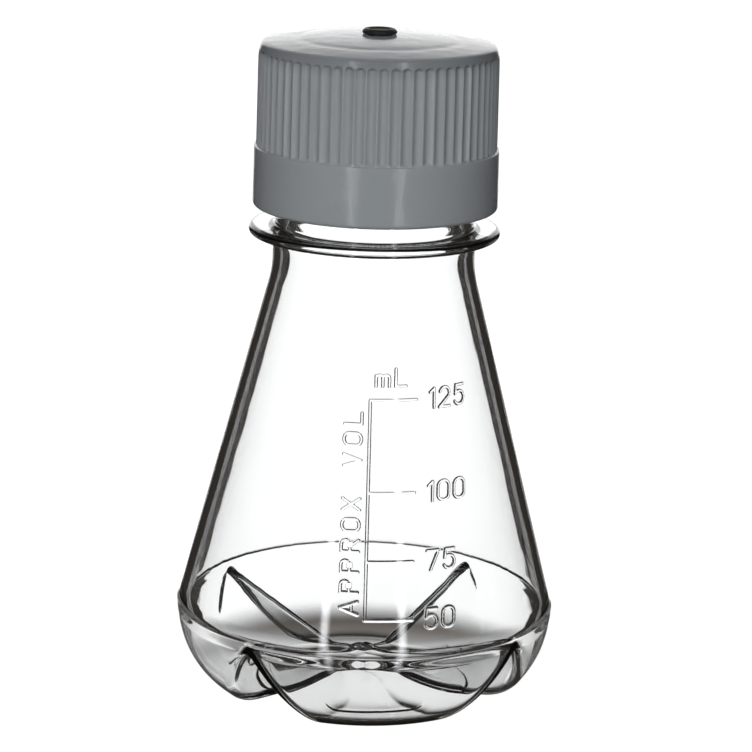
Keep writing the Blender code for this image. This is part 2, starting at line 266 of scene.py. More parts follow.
def glyphs():
    """Strokes of each sign in a box one wide and one high, with its own width as a share."""
    oval = bow(0.5, 0.72, 0.5, 0.28, 0, 180) + bow(0.5, 0.28, 0.5, 0.28, 180, 360) + [(1, 0.72)]
    loop = [(0, 0.5), (0.62, 0.5)] + bow(0.62, 0.75, 0.38, 0.25, -90, 90) + [(0, 1)]
    hump_left = [(0, 0.45)] + bow(0.25, 0.62, 0.25, 0.2, 180, 0, 8) + [(0.5, 0)]
    hump_right = [(0.5, 0.45)] + bow(0.75, 0.62, 0.25, 0.2, 180, 0, 8) + [(1, 0)]
    two = bow(0.5, 0.7, 0.46, 0.3, 165, -35) + [(0, 0), (1, 0)]
    five = [(0.92, 1), (0.14, 1), (0.08, 0.55)] + bow(0.48, 0.34, 0.5, 0.34, 130, -150)
    return {
        "0": (1.0, [oval]),
        "1": (0.38, [[(0, 0.8), (1, 1), (1, 0)]]),
        "2": (1.0, [two]),
        "5": (1.0, [five]),
        "7": (1.0, [[(0, 1), (1, 1), (0.35, 0)]]),
        "m": (1.0, [[(0, 0), (0, 0.8)], hump_left, hump_right]),
        "L": (1.0, [[(0, 1), (0, 0), (1, 0)]]),
        "A": (1.1, [[(0, 0), (0.5, 1), (1, 0)], [(0.17, 0.34), (0.83, 0.34)]]),
        "P": (1.0, [[(0, 0), (0, 1)], loop]),
        "R": (1.0, [[(0, 0), (0, 1)], loop, [(0.45, 0.5), (1, 0)]]),
        "O": (1.05, [oval]),
        "X": (1.0, [[(0, 0), (1, 1)], [(0, 1), (1, 0)]]),
        "V": (1.0, [[(0, 1), (0.5, 0), (1, 1)]]),
    }


def written(text, size, gap, space, place):
    """Segments of a line of text. place turns a point along and above the line into (round, up)."""
    signs = glyphs()
    segments = []
    cursor = 0.0
    for sign in text:
        if sign == " ":
            cursor += space
            continue
        share, strokes = signs[sign]
        width = size[0] * share
        for stroke in strokes:
            points = [place(cursor + x * width, y * size[1]) for x, y in stroke]
            segments += list(zip(points, points[1:]))
        cursor += width + gap
    return segments


def scale_strokes():
    """All strokes of the scale as segments of (distance round the cone, height)."""
    low, high = SCALE_MARKS[0][1], SCALE_MARKS[-1][1]
    segments = [((0.0, low), (0.0, high))]
    for value, height in SCALE_MARKS:
        segments.append(((0.0, height), (TICK_LENGTH, height)))
        base = height - FIGURE_SIZE[1] / 2
        segments += written(
            str(value), FIGURE_SIZE, FIGURE_GAP, 0.0, lambda x, y, base=base: (FIGURE_OFFSET + x, base + y)
        )
    for sign, size, offset in UNIT_SIGNS:
        segments += written(sign, size, 0.0, 0.0, lambda x, y, offset=offset: (offset + x, UNIT_HEIGHT + y))
    segments += written(
        "APPROX VOL", WORDS_SIZE, WORDS_GAP, WORDS_SPACE, lambda x, y: (WORDS_OFFSET - y, WORDS_START + x)
    )
    return segments


def stroke_distance(around, height):
    """Distance of each point of the unrolled cone from the nearest stroke."""
    nearest = np.full(around.shape, 1.0)
    for (x0, y0), (x1, y1) in scale_strokes():
        reach = STROKE_SKIRT + 0.1 * MM
        close = (around > min(x0, x1) - reach) & (around < max(x0, x1) + reach)
        close &= (height > min(y0, y1) - reach) & (height < max(y0, y1) + reach)
        if not close.any():
            continue
        px, py = around[close] - x0, height[close] - y0
        dx, dy = x1 - x0, y1 - y0
        share = np.clip((px * dx + py * dy) / (dx * dx + dy * dy), 0, 1)
        gap = np.hypot(px - share * dx, py - share * dy)
        nearest[close] = np.minimum(nearest[close], gap)
    return nearest


# Flask body --------------------------------------------------------------------------------------


def cone_radius(height):
    return HEEL_RADIUS + 0.02 * MM - CONE_TAPER * (height - HEEL_HEIGHT)


def base_profile(inside):
    """(r, z) of the base between baffles, from just under the heel to near the axis."""
    floor = FLOOR_WALL if inside else 0.0
    if inside:
        span = cone_radius(INNER_HEEL_HEIGHT) - WALL - FOOT_RADIUS
        points = []
        for turn in np.radians(np.linspace(2, 90, 41)):
            push = BASE_THINNING * math.sin(2 * turn)
            radius = FOOT_RADIUS + (span + push) * math.cos(turn)
            points.append((radius, INNER_HEEL_HEIGHT - (INNER_HEEL_HEIGHT - floor + push) * math.sin(turn)))
    else:
        span = (HEEL_RADIUS - FOOT_RADIUS) / math.sqrt(1 - (1 - RING_HEIGHT / HEEL_HEIGHT) ** 2)
        start = -math.degrees(math.asin(1 - RING_HEIGHT / HEEL_HEIGHT)) - 1.5
        points = arc(FOOT_RADIUS, HEEL_HEIGHT, span, HEEL_HEIGHT, start, -90, 40)
    points += line((FOOT_RADIUS, floor), (FOOT_INNER_RADIUS, floor), 0.25 * MM)
    for radius in np.linspace(FOOT_INNER_RADIUS, 0.5 * MM, 26)[1:]:
        share = 1 - radius / FOOT_INNER_RADIUS
        points.append((radius, floor + CENTRE_RISE * (1 - math.cos(math.pi * share)) / 2))
    if inside:
        foot = FLOOR_STEP_RADIUS - FLOOR_STEP
        points = [
            (r, z + FLOOR_STEP * (1 - float(smooth_step(foot, FLOOR_STEP_RADIUS, r)))) for r, z in points
        ]
    return points


def baffle_height(radius, angle, inside):
    """Height of the nearest baffle's fold."""
    step = TURN / BAFFLES
    from_crest = angle % step - step / 2
    off = radius * np.sin(from_crest)
    along = np.maximum(radius * np.cos(from_crest), BAFFLE_INNER_RADIUS)
    edge = HEEL_RADIUS - WALL
    share = (along - BAFFLE_INNER_RADIUS) / (edge - BAFFLE_INNER_RADIUS)
    crest = BAFFLE_LOW + (BAFFLE_HIGH - BAFFLE_LOW) * share
    soft = BAFFLE_ROUND_INSIDE
    if not inside:
        soft = BAFFLE_ROUND_OUTSIDE
        crest = -smooth_max(BAFFLE_WALL - crest, -GROOVE_HIGH, GROOVE_BLEND)
    return crest - BAFFLE_FLANK * (np.hypot(off, soft) - soft)


def gate_mark(radius):
    """The moulded spot in the middle of the base: a low disc with a dimple."""
    disc, dimple = (
        size * (1 - smooth_step(inner, outer, radius)) for size, inner, outer in (GATE_DISC, GATE_DIMPLE)
    )
    return disc - dimple


def fold(radius, height, angle, inside):
    """Heights of the base with its baffles and its centre spot."""
    edge = HEEL_RADIUS - (WALL if inside else 0.0)
    blend = BAFFLE_BLEND_INSIDE if inside else BAFFLE_BLEND_OUTSIDE
    heel = INNER_HEEL_HEIGHT if inside else RING_HEIGHT
    reach = np.clip(2 * (heel - height), SHARPEST_BLEND, blend)
    folded = smooth_max(height, baffle_height(radius, angle, inside), reach)
    if inside:
        sway = np.sin(radius / (2.1 * MM) + 1.7 * np.sin(angle * 3 + 0.6))
        sway = sway * np.sin(angle * 5 + radius / (4.3 * MM))
        folded = folded + SWAY * sway * smooth_step(4 * MM, 12 * MM, edge - radius)
        folded = folded + gate_mark(radius)
    return folded


def neck_profile():
    """(r, z) from the lip down to the top of the scale's patch."""
    low = FLANGE_TOP - FLANGE_THICKNESS
    edge = FLANGE_THICKNESS / 2
    rim = 0.8 * MM
    fillet = 0.7 * MM
    points = [(FINISH_RADIUS - NECK_WALL / 2, LIP_HEIGHT)]
    points += arc(FINISH_RADIUS - rim, LIP_HEIGHT - rim, rim, rim, 90, 0, 6)
    points += line(points[-1], (FINISH_RADIUS, 100 * MM), 0.2 * MM)
    points += line(points[-1], (FINISH_RADIUS, FLANGE_TOP + fillet), 2.5 * MM)
    points += arc(FINISH_RADIUS + fillet, FLANGE_TOP + fillet, fillet, fillet, 180, 270, 5)[1:]
    points += line(points[-1], (FLANGE_RADIUS - edge, FLANGE_TOP), 0.8 * MM)
    points += arc(FLANGE_RADIUS - edge, FLANGE_TOP - edge, edge, edge, 90, -90, 12)[1:]
    points += line(points[-1], (NECK_RADIUS + fillet, low), 0.8 * MM)
    points += arc(NECK_RADIUS + fillet, low - fillet, fillet, fillet, 90, 180, 5)[1:]
    bend = shoulder(0.0)[::-1]
    return points + line(points[-1], bend[0], 0.8 * MM) + bend[1:]


PATCH_TOP = 67.2 * MM
PATCH_BOTTOM = 20.4 * MM
PATCH_ROW = (PATCH_TOP - PATCH_BOTTOM) / 37.6  # about the height of a coarse row
COLUMNS = 480
PATCH_FIRST, PATCH_LAST = 0, 88  # columns of the coarse grid that the fine patch covers
FINE = 4  # fine columns to a coarse one
FINE_ROWS = 12  # fine rows to a coarse one
GRID_TURN = SCALE_ANGLE - math.radians(16.5)  # angle of column 0


def outer_profile():
    """Rows of the outside down to the axis, and the numbers of the patch's first and last row."""
    points = neck_profile()
    points += line(points[-1], (cone_radius(PATCH_TOP), PATCH_TOP), 2.5 * MM)
    first = len(points) - 1
    points += line(points[-1], (cone_radius(PATCH_BOTTOM), PATCH_BOTTOM), PATCH_ROW)
    last = len(points) - 1
    above = HEEL_HEIGHT + HEEL_BEAD_SLOPE
    points += line(points[-1], (cone_radius(above), above), 0.9 * MM)
    for share in np.linspace(0, 1, 13):
        swell = HEEL_BEAD * (1 - share * share * share)
        points.append((HEEL_RADIUS + swell, HEEL_HEIGHT + (RING_HEIGHT - HEEL_HEIGHT) * share))
    points += base_profile(False)
    return points, first, last


def shoulder(offset):
    """(r, z) up the bend between the cone and the neck, for a skin at an offset inside the outer one."""
    meet = HEEL_HEIGHT + (HEEL_RADIUS - NECK_RADIUS) / CONE_TAPER
    points = []
    for share in np.linspace(1, 0, 9):
        radius = NECK_RADIUS - offset + CONE_TAPER * SHOULDER_BEND * share * share
        points.append((radius, meet + SHOULDER_BEND * (1 - 2 * share)))
    return points


def inner_profile():
    """Rows of the inside from the axis up to the lip."""
    bore = FINISH_RADIUS - NECK_WALL
    corner = cone_radius(INNER_HEEL_HEIGHT) - WALL
    points = base_profile(True)[::-1]
    points += [(corner, INNER_HEEL_HEIGHT)]
    bend = shoulder(WALL)
    points += line(points[-1], bend[0], 2.5 * MM) + bend[1:]
    wide, narrow = FLANGE_TOP - 3.5 * MM, FLANGE_TOP + 1.5 * MM
    points += line(points[-1], (points[-1][0], wide), 1.0 * MM)
    for height in np.linspace(wide, narrow, 9)[1:]:
        share = float(smooth_step(wide, narrow, height))
        points.append((NECK_RADIUS - WALL + (bore - NECK_RADIUS + WALL) * share, height))
    points += line(points[-1], (bore, LIP_HEIGHT - 0.6 * MM), 2.5 * MM)
    points += arc(bore + 0.6 * MM, LIP_HEIGHT - 0.6 * MM, 0.6 * MM, 0.6 * MM, 180, 90, 4)[1:]
    return points


def flask_rings():
    """All ring points of the body from the inner axis to the outer axis."""
    inner = inner_profile()
    outer, first, last = outer_profile()
    inner_base = len(base_profile(True))
    outer_base = len(base_profile(False))
    radius, height, angle = turned_points(inner + outer, COLUMNS)
    angle = angle + GRID_TURN
    height = height.copy()
    radius = radius.copy()
    height[:inner_base] = fold(radius[:inner_base], height[:inner_base], angle[:inner_base], True)
    height[-outer_base:] = fold(radius[-outer_base:], height[-outer_base:], angle[-outer_base:], False)
    neck = slice(len(inner), len(inner) + first)
    on_neck = height[neck] > FLANGE_TOP + 8 * MM
    shape = (NECK_THREAD_START, NECK_THREAD_TURNS, NECK_THREAD_HEIGHT, NECK_THREAD_HALF)
    ridge = thread_rise(angle[neck], height[neck], *shape)
    radius[neck] += np.where(on_neck, ridge, 0.0)
    return radius, height, angle, len(inner) + first, len(inner) + last


def fine_patch(first, last):
    """Points of the fine grid over the scale, with its raised strokes."""
    rows = (last - first) * FINE_ROWS + 1
    columns = (PATCH_LAST - PATCH_FIRST) * FINE + 1
    height = np.linspace(PATCH_TOP, PATCH_BOTTOM, rows)[:, None] * np.ones(columns)
    start = GRID_TURN + TURN * PATCH_FIRST / COLUMNS
    end = GRID_TURN + TURN * PATCH_LAST / COLUMNS
    angle = np.linspace(start, end, columns)[None, :] * np.ones((rows, 1))
    skin = cone_radius(height)
    gap = stroke_distance((angle - SCALE_ANGLE) * skin, height)
    return skin + SCALE_RELIEF * (1 - smooth_step(STROKE_FLAT, STROKE_SKIRT, gap)), height, angle


def flask_body():
    """One closed skin: coarse rings everywhere, and a fine patch let into them where the scale is."""
    radius, height, angle, first, last = flask_rings()
    rows = len(radius)
    vertices = [tuple(p) for p in to_space(radius, height, angle).reshape(-1, 3)]
    patch = to_space(*fine_patch(first, last))
    number = {}
    fine_rows, fine_columns = patch.shape[:2]
    for i in range(fine_rows):
        for j in range(fine_columns):
            on_edge = i in (0, fine_rows - 1) or j in (0, fine_columns - 1)
            if on_edge and i % FINE_ROWS == 0 and j % FINE == 0:
                number[i, j] = (first + i // FINE_ROWS) * COLUMNS + PATCH_FIRST + j // FINE
                vertices[number[i, j]] = tuple(patch[i, j])
            else:
                number[i, j] = len(vertices)
                vertices.append(tuple(patch[i, j]))
    covered = {(i, j) for i in range(first, last) for j in range(PATCH_FIRST, PATCH_LAST)}
    left, right = (PATCH_FIRST - 1) % COLUMNS, PATCH_LAST
    border = {(first - 1, j) for j in range(PATCH_FIRST, PATCH_LAST)}
    border |= {(last, j) for j in range(PATCH_FIRST, PATCH_LAST)}
    border |= {(i, left) for i in range(first, last)} | {(i, right) for i in range(first, last)}
    faces = ring_faces(rows, COLUMNS, False, covered | border)
    for i in range(fine_rows - 1):
        for j in range(fine_columns - 1):
            faces.append((number[i, j], number[i + 1, j], number[i + 1, j + 1], number[i, j + 1]))

    def coarse(i, j):
        return i * COLUMNS + j % COLUMNS

    for j in range(PATCH_FIRST, PATCH_LAST):
        span = range((j - PATCH_FIRST) * FINE, (j - PATCH_FIRST + 1) * FINE + 1)
        edge = [number[0, k] for k in span]
        faces.append((coarse(first - 1, j), *edge, coarse(first - 1, j + 1)))
        edge = [number[fine_rows - 1, k] for k in span]
        faces.append((coarse(last + 1, j), coarse(last + 1, j + 1), *edge[::-1]))
    for i in range(first, last):
        span = range((i - first) * FINE_ROWS, (i - first + 1) * FINE_ROWS + 1)
        edge = [number[k, 0] for k in span]
        faces.append((coarse(i, left), coarse(i + 1, left), *edge[::-1]))
        edge = [number[k, fine_columns - 1] for k in span]
        faces.append((*edge, coarse(i + 1, right + 1), coarse(i, right + 1)))
    top, bottom = len(vertices), len(vertices) + 1
    inner_axis = float(height[0].mean())
    outer_axis = float(height[-1].mean())
    vertices += [(0, 0, inner_axis), (0, 0, outer_axis)]
    faces += pole_faces(0, top, COLUMNS, True)
    faces += pole_faces((rows - 1) * COLUMNS, bottom, COLUMNS, False)
    used = sorted({v for face in faces for v in face})
    renumber = {old: new for new, old in enumerate(used)}
    faces = [tuple(renumber[v] for v in face) for face in faces]
    return link_mesh("flask", [vertices[v] for v in used], faces)


# Cap ---------------------------------------------------------------------------------------------


def dome_height(radius):
    """Top of the cap: a flatter rim, a soft crease and a shallow dome with a seat for the plug."""
    share = max(radius, PLUG_SEAT_RADIUS) / CAP_TOP_RADIUS
    return CAP_RIM + CAP_DOME * (1 - share * share) / (1 - (PLUG_SEAT_RADIUS / CAP_TOP_RADIUS) ** 2)


def cap_profile():
    """(r, z) round the cap's wall: up out of the port, over the top, down the outside and up the bore."""
    round_top = 0.45 * MM
    corner = 0.75 * MM
    points = [(VENT_RADIUS, dome_height(0))]
    points += [(r, dome_height(r)) for r in np.linspace(VENT_RADIUS, CAP_TOP_RADIUS - 0.1 * MM, 26)[1:]]
    taper = GRIP_RADIUS - CAP_TOP_RADIUS + 0.05 * MM
    shoulder_foot = CAP_RIM - SHOULDER_HEIGHT
    points += arc(GRIP_RADIUS - taper, shoulder_foot, taper, SHOULDER_HEIGHT - 0.06 * MM, 80, 0, 26)
    points += line(points[-1], (GRIP_RADIUS + 0.12 * MM, BAND_TOP + 0.9 * MM), 1.2 * MM)
    points += line(points[-1], (GRIP_RADIUS + 0.13 * MM, BAND_TOP), 0.15 * MM)
    points += arc(BAND_RADIUS - 0.1 * MM, BAND_TOP - 0.1 * MM, 0.1 * MM, 0.1 * MM, 90, 0, 3)
    points += line(points[-1], (BAND_RADIUS + 0.1 * MM, CAP_BOTTOM + corner), 1.2 * MM)
    points += arc(BAND_RADIUS + 0.1 * MM - corner, CAP_BOTTOM + corner, corner, corner, 0, -90, 7)[1:]
    points += [(CAP_BORE + 0.6 * MM, CAP_BOTTOM), (CAP_BORE + 0.1 * MM, CAP_BOTTOM + 0.4 * MM)]
    points += line(points[-1], (CAP_BORE, CAP_THREAD_START - 2 * MM), 1.5 * MM)
    points += line(points[-1], (CAP_BORE, CAP_THREAD_START + CAP_THREAD_TURNS * LEAD + 1.6 * MM), 0.27 * MM)
    points += line(points[-1], (CAP_BORE, CAP_CEILING - round_top), 1.5 * MM)
    points += [(CAP_BORE - 0.1 * MM, CAP_CEILING), (PLENUM_RADIUS + 0.1 * MM, CAP_CEILING)]
    points += [(PLENUM_RADIUS, CAP_CEILING + 0.1 * MM), (PLENUM_RADIUS - 0.1 * MM, PLENUM_CEILING)]
    points += [(VENT_RADIUS + 0.15 * MM, PLENUM_CEILING), (VENT_RADIUS, PLENUM_CEILING + 0.15 * MM)]
    return points


def flute_depth(angle, height):
    """Depth of the concave finger flutes, which have arched tops and short rounded feet."""
    across = (angle * FLUTES / TURN) % 1.0 * 2 - 1
    off = np.abs(across)
    hollow = (FLUTE_SHARE - off * off) / FLUTE_SHARE
    scoop = np.where(off < FLUTE_SHARE, hollow, (1 - off) ** 2 / (1 - FLUTE_SHARE))
    half_pitch = math.pi * GRIP_RADIUS / FLUTES
    arch_top = GRIP_TOP - half_pitch * (1 - np.sqrt(np.clip(1 - across * across, 0, 1)))
    foot = BAND_TOP + 0.12 * MM + 0.35 * half_pitch * (1 - np.sqrt(np.clip(1 - across * across, 0, 1)))
    ends = smooth_step(0, 0.55 * MM, arch_top - height) * smooth_step(0, 0.3 * MM, height - foot)
    return FLUTE_DEPTH * scoop * ends


def cap_shell():
    columns = FLUTES * 12
    profile = cap_profile()
    radius, height, angle = turned_points(profile, columns)
    radius, height = radius.copy(), height.copy()
    outside = radius > CAP_TOP_RADIUS + 0.02 * MM
    outside &= height > BAND_TOP + 0.05 * MM
    radius -= np.where(outside, flute_depth(angle, height), 0.0)
    in_bore = np.abs(radius - CAP_BORE) < 0.05 * MM
    shape = (CAP_THREAD_START, CAP_THREAD_TURNS, CAP_THREAD_HEIGHT, CAP_THREAD_HALF)
    ridge = thread_rise(angle, height, *shape)
    radius -= np.where(in_bore, ridge, 0.0)
    crease = CREASE_DEPTH * np.exp(-(((radius - CREASE_RADIUS) / CREASE_WIDTH) ** 2))
    on_top = height > CAP_RIM + 0.01 * MM
    height -= np.where(on_top, crease, 0.0)
    vertices = to_space(radius, height, angle).reshape(-1, 3)
    faces = ring_faces(len(profile), columns, True)
    return link_mesh("cap", vertices, faces)


# Parts inside the cap ----------------------------------------------------------------------------


def washer_profile(inner, outer, low, high, edge):
    """A closed ring outline with rounded corners."""
    points = arc(outer - edge, high - edge, edge, edge, 90, 0, 4)
    points += arc(outer - edge, low + edge, edge, edge, 0, -90, 4)
    points += arc(inner + edge, low + edge, edge, edge, 270, 180, 4)
    points += arc(inner + edge, high - edge, edge, edge, 180, 90, 4)
    return points


def seal_liner():
    low, high = LINER_LOW.z, LINER_HIGH.z
    profile = washer_profile(LINER_BORE, LINER_HIGH.x, low, high, 0.2 * MM)
    return turned_piece("liner", profile, 180, closed=True)


def vent_membrane():
    low, high = MEMBRANE_LOW.z, MEMBRANE_HIGH.z
    edge = MEMBRANE_HIGH.x
    rings = [(r, high) for r in np.linspace(0, edge - 0.05 * MM, 14)]
    rings += [(edge, high - 0.05 * MM), (edge, low + 0.05 * MM)]
    rings += [(r, low) for r in np.linspace(edge - 0.05 * MM, 0, 14)]
    return turned_piece("membrane", rings, 120)


def membrane_ring():
    low, high = RING_LOW.z, RING_HIGH.z
    profile = washer_profile(MEMBRANE_RING_BORE, RING_HIGH.x, low, high, 0.3 * MM)
    return turned_piece("membrane_ring_part", profile, 180, closed=True)


def vent_plug():
    """Rubber plug with a rolled edge, a dished top and a ribbed stem."""
    seat = CAP_HIGH.z + 0.05 * MM
    top = PLUG_HIGH.z
    half = (top - seat) / 2
    head = PLUG_HIGH.x
    dish, dish_radius = top - 0.34 * MM, 1.5 * MM
    profile = [(0.0, dish)]
    for r in np.linspace(0.3, 1.5, 5) * MM:
        profile.append((r, dish + 0.02 * MM * (r / dish_radius) ** 2))
    profile += [(1.85 * MM, top - 0.22 * MM), (2.05 * MM, top - 0.06 * MM)]
    profile += arc(head - 0.62 * MM, top - 0.2 * MM, 0.28 * MM, 0.2 * MM, 110, 20, 5)
    edge = half * 0.8
    profile += arc(head - edge, seat + edge, edge, edge, 50, -90, 9)
    profile += [(2.25 * MM, seat), (1.95 * MM, seat - 0.12 * MM)]
    stem_end = PLUG_LOW.z
    for height in np.linspace(seat - 0.5 * MM, stem_end + 0.7 * MM, 4):
        profile += [(1.95 * MM, height + 0.12 * MM), (1.8 * MM, height)]
    profile += [(1.75 * MM, stem_end + 0.3 * MM), (1.45 * MM, stem_end), (0.0, stem_end)]
    return turned_piece("plug", profile, 72)


# Materials ---------------------------------------------------------------------------------------


class Shader:
    """A short way to add and link nodes in one node tree."""

    def __init__(self, tree):
        self.tree = tree
        self.tree.nodes.clear()

    def add(self, kind, values=None, **settings):
        node = self.tree.nodes.new("ShaderNode" + kind)
        for key, value in settings.items():
            setattr(node, key, value)
        for key, value in (values or {}).items():
            self.set(node.inputs[key], value)
        return node

    def set(self, socket, value):
        if isinstance(value, bpy.types.NodeSocket):
            self.tree.links.new(value, socket)
        else:
            socket.default_value = value

    def math(self, operation, *values, clamp=False):
        node = self.add("Math", operation=operation, use_clamp=clamp)
        for socket, value in zip(node.inputs, values):
            self.set(socket, value)
        return node.outputs[0]

    def step(self, value, low, high, start=0.0, end=1.0):
        node = self.add("MapRange", {"Value": value, "From Min": low, "From Max": high, "To Min": start,
                                     "To Max": end}, interpolation_type="SMOOTHSTEP")
        return node.outputs[0]

    def noise(self, scale, detail=2.0, roughness=0.5, vector=None):
        values = {"Scale": scale, "Detail": detail, "Roughness": roughness}
        if vector is not None:
            values["Vector"] = vector
        return self.add("TexNoise", values).outputs["Fac"]

    def bump(self, height, strength, distance, normal=None):
        values = {"Height": height, "Strength": strength, "Distance": distance}
        if normal is not None:
            values["Normal"] = normal
        return self.add("Bump", values).outputs["Normal"]

    def tint(self, share, dark, light):
        node = self.add("MixRGB", {"Fac": share, "Color1": (*dark, 1), "Color2": (*light, 1)})
        return node.outputs[0]

    def finish(self, shader, target="OutputMaterial"):
        output = self.add(target)
        self.tree.links.new(shader, output.inputs["Surface"])


def new_material(name):
    material = bpy.data.materials.new(name)
    material.use_nodes = True
    return material, Shader(material.node_tree)


def clear_plastic():
    """Polished copolyester: nearly colourless, with faint flow lines and handling marks."""
    material, s = new_material("clear_copolyester")
    place = s.add("TexCoord").outputs["Object"]
    stretched = s.add("Mapping", {"Vector": place, "Scale": (1.0, 1.0, 0.25)}).outputs[0]
    flow = s.noise(160.0, 2.0, 0.5, stretched)
    marks = s.noise(900.0, 3.0, 0.6, place)
    roughness = s.step(marks, 0.55, 0.8, 0.0, 0.05)
    normal = s.bump(flow, 0.06, 0.0003)
    plastic = s.add("BsdfPrincipled", {
        "Base Color": (0.992, 0.996, 0.997, 1), "Roughness": roughness, "IOR": 1.57,
        "Transmission Weight": 1.0, "Normal": normal,
    })
    through = s.add("BsdfTransparent", {"Color": (0.93, 0.94, 0.94, 1)})
    shadow = s.add("LightPath").outputs["Is Shadow Ray"]
    mixed = s.add("MixShader", {0: shadow, 1: plastic.outputs[0], 2: through.outputs[0]})
    s.finish(mixed.outputs[0])
    return material


def grey_plastic():
    """Satin grey polyolefin with a moulded grain, slight mottling and a painted shade on its side below the
    rim.
    """
    material, s = new_material("grey_polyolefin")
    place = s.add("TexCoord").outputs["Object"]
    cloud = s.noise(55.0, 3.0, 0.55, place)
    grain = s.noise(2600.0, 2.0, 0.6, place)
    ripple = s.noise(330.0, 2.0, 0.5, place)
    colour = s.tint(cloud, (0.240, 0.257, 0.264), (0.264, 0.278, 0.284))
    height = s.add("SeparateXYZ", {0: place}).outputs["Z"]
    side = s.step(height, CAP_RIM - 0.15 * MM, CAP_RIM, 1.0, 0.0)
    # painted shade: the side is painted darker towards the rim to stand in for the shade on the cap's
    # shoulder, and the top is left out
    painted_shade = s.step(height, PAINTED_SHADE_FOOT, CAP_RIM - 0.5 * MM, 0.0, PAINTED_SHADE_STRENGTH)
    painted_shade = s.math("MULTIPLY", painted_shade, side)
    colour = s.add("MixRGB", {"Fac": painted_shade, "Color1": colour, "Color2": (0, 0, 0, 1)}).outputs[0]
    roughness = s.step(cloud, 0.3, 0.7, 0.15, 0.2)
    normal = s.bump(grain, 0.12, 0.00008)
    normal = s.bump(ripple, 0.35, 0.0003, normal)
    plastic = s.add("BsdfPrincipled", {
        "Base Color": colour, "Roughness": roughness, "IOR": 1.5, "Normal": normal,
        "Subsurface Weight": 0.15, "Subsurface Scale": 0.0008, "Subsurface Radius": (1.0, 1.0, 1.0),
    })
    s.finish(plastic.outputs[0])
    return material


def liner_foam():
    material, s = new_material("liner_foam")
    place = s.add("TexCoord").outputs["Object"]
    cells = s.add("TexVoronoi", {"Vector": place, "Scale": 2600.0}).outputs["Distance"]
    colour = s.tint(cells, (0.74, 0.74, 0.71), (0.86, 0.86, 0.83))
    normal = s.bump(cells, 0.3, 0.0001)
    s.finish(s.add("BsdfPrincipled", {"Base Color": colour, "Roughness": 0.6, "Normal": normal}).outputs[0])
    return material


def membrane_film():
    material, s = new_material("membrane_film")
    place = s.add("TexCoord").outputs["Object"]
    fibre = s.noise(5200.0, 4.0, 0.7, place)
    cloud = s.noise(240.0, 2.0, 0.5, place)
    colour = s.tint(cloud, (0.84, 0.84, 0.83), (0.93, 0.93, 0.92))
    normal = s.bump(fibre, 0.4, 0.00006)
    s.finish(s.add("BsdfPrincipled", {"Base Color": colour, "Roughness": 0.9, "Normal": normal}).outputs[0])
    return material


def natural_plastic():
    material, s = new_material("natural_plastic")
    place = s.add("TexCoord").outputs["Object"]
    cloud = s.noise(180.0, 3.0, 0.5, place)
    grain = s.noise(2200.0, 2.0, 0.6, place)
    colour = s.tint(cloud, (0.70, 0.72, 0.72), (0.80, 0.82, 0.82))
    normal = s.bump(grain, 0.15, 0.00006)
    s.finish(s.add("BsdfPrincipled", {
        "Base Color": colour, "Roughness": 0.42, "Normal": normal,
        "Subsurface Weight": 0.3, "Subsurface Scale": 0.001,
    }).outputs[0])
    return material


def black_rubber():
    """Black rubber with fine grain, its dish and other upward faces painted lighter as if lit from above.
    """
    material, s = new_material("black_rubber")
    place = s.add("TexCoord").outputs["Object"]
    up = s.add("SeparateXYZ", {0: s.add("NewGeometry").outputs["Normal"]}).outputs["Z"]
    grain = s.noise(4200.0, 3.0, 0.6, place)
    # painted light: upward faces are painted lighter, speckled by the grain, standing in for the light that
    # falls on the dish
    painted_top_light = s.math("MULTIPLY", s.step(up, 0.85, 1.0), s.step(grain, 0.35, 0.65, 0.5, 1.0))
    colour = s.tint(painted_top_light, (0.012, 0.012, 0.010), (0.085, 0.085, 0.072))
    normal = s.bump(grain, 0.25, 0.00005)
    s.finish(s.add("BsdfPrincipled", {"Base Color": colour, "Roughness": 0.5, "Normal": normal}).outputs[0])
    return material


# Studio ------------------------------------------------------------------------------------------

WINDOW_HALF = 0.185  # sideways tangent, from the camera, where the bright backdrop ends
WINDOW_SOFT = 0.015
WINDOW_TOP = (0.3, 0.45)
WINDOW_BOTTOM = (-0.35, -0.14)
BACKDROP_LIGHT = 1.55
MIRROR_LIGHT = 1.9  # of the backdrop as reflections see it
MIRROR_LEAN = 0.8  # how much wider it gets for each unit upwards
MIRROR_EDGE = (0.08, 0.3)
MIRROR_FADE = (0.1, 1.3, MIRROR_LIGHT, 0.15)
MIRROR_FOOT = (-0.3, -0.1)
FLAG_LIGHT = 0.03
STRIP_OFFSET = 0.44
STRIP_LIGHT = 6.0
STRIP_EDGE = (0.01, 0.08)
STRIP_END = (0.6, 1.0)
FILL_LIGHT = 0.05
FLOOR_SHADE = (32 * MM, 48 * MM)  # distance from the middle over which the shade under the flask ends
FLOOR_SHADE_FRONT = 0.85
FLOOR_SHADE_BACK = 0.1
FLOOR_POOL = (17 * MM, 22 * MM, 0.8, 0.0)  # light that falls through the middle of the flask
SOFT_LIGHT = 5.0  # the broad light that matt surfaces see
SOFT_AIM = (0.12, 0.975)  # its direction, rightwards and forwards, as the camera sees it


